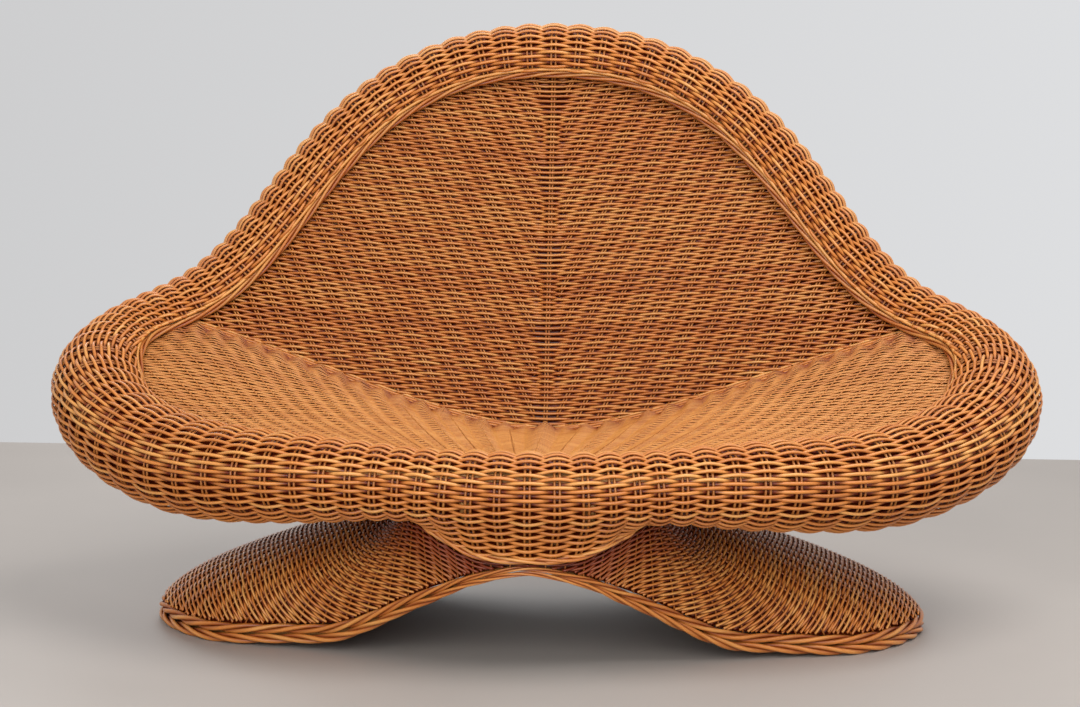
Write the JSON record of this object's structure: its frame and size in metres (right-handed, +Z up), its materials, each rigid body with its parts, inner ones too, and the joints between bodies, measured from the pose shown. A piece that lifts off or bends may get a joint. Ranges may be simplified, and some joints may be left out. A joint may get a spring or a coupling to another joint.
{
  "type": "rattan lounge armchair",
  "caption": "Wide low lounge armchair woven in rattan: a thick rolled rim rises from broad arms to a domed back round a dished seat, on a base that flares into two leaf-shaped feet.",
  "frame": {"origin": "on the floor, under the middle of the chair's overall box", "axes": "+Z up; the sitter faces -Y; +X to the right as seen from the front, along the width"},
  "size_m": [1.4732, 0.8114, 0.8993],
  "materials": {
    "woven_rattan": "satin clear-coated round reed",
    "seat_weave": "satin, paler close weave",
    "braid": "satin twisted reed",
    "rattan_pole": "matt scraped cane",
    "dowel_wood": "bare turned wood"
  },
  "bodies": {
    "root": {"back_centre_rib": "rattan_pole", "back_lip_hoop": "rattan_pole", "back_rim_dowel": "dowel_wood", "back_roll_weave": "woven_rattan", "back_weave": "woven_rattan", "crease_rail": "rattan_pole", "front_apron_weave": "woven_rattan", "front_rim_dowel": "dowel_wood", "front_roll_weave": "woven_rattan", "left_arm_front_rib": "rattan_pole", "left_arm_rear_rib": "rattan_pole", "left_arm_roll_weave": "woven_rattan", "left_back_rib_1": "rattan_pole", "left_back_rib_2": "rattan_pole", "left_foot_border": "braid", "left_foot_front_rib": "rattan_pole", "left_foot_hoop": "rattan_pole", "left_foot_rear_rib": "rattan_pole", "left_foot_tip_rib": "rattan_pole", "left_foot_weave": "woven_rattan", "left_front_post_dowel": "dowel_wood", "left_front_rib": "rattan_pole", "left_front_seat_post": "rattan_pole", "left_rear_post_dowel": "dowel_wood", "left_rear_rib": "rattan_pole", "left_rear_seat_post": "rattan_pole", "left_rim_pole": "rattan_pole", "left_seat_rib_1": "rattan_pole", "left_underarm_weave": "woven_rattan", "lip_braid": "braid", "rear_centre_rib": "rattan_pole", "rear_shell_weave": "woven_rattan", "right_arm_front_rib": "rattan_pole", "right_arm_rear_rib": "rattan_pole", "right_arm_roll_weave": "woven_rattan", "right_back_rib_1": "rattan_pole", "right_back_rib_2": "rattan_pole", "right_foot_border": "braid", "right_foot_front_rib": "rattan_pole", "right_foot_hoop": "rattan_pole", "right_foot_rear_rib": "rattan_pole", "right_foot_tip_rib": "rattan_pole", "right_foot_weave": "woven_rattan", "right_front_post_dowel": "dowel_wood", "right_front_rib": "rattan_pole", "right_front_seat_post": "rattan_pole", "right_rear_post_dowel": "dowel_wood", "right_rear_rib": "rattan_pole", "right_rear_seat_post": "rattan_pole", "right_rim_pole": "rattan_pole", "right_seat_rib_1": "rattan_pole", "right_underarm_weave": "woven_rattan", "seat_centre_rib": "rattan_pole", "seat_lip_hoop": "rattan_pole", "seat_weave": "seat_weave", "waist_hoop": "rattan_pole"}
  },
  "joints": []
}
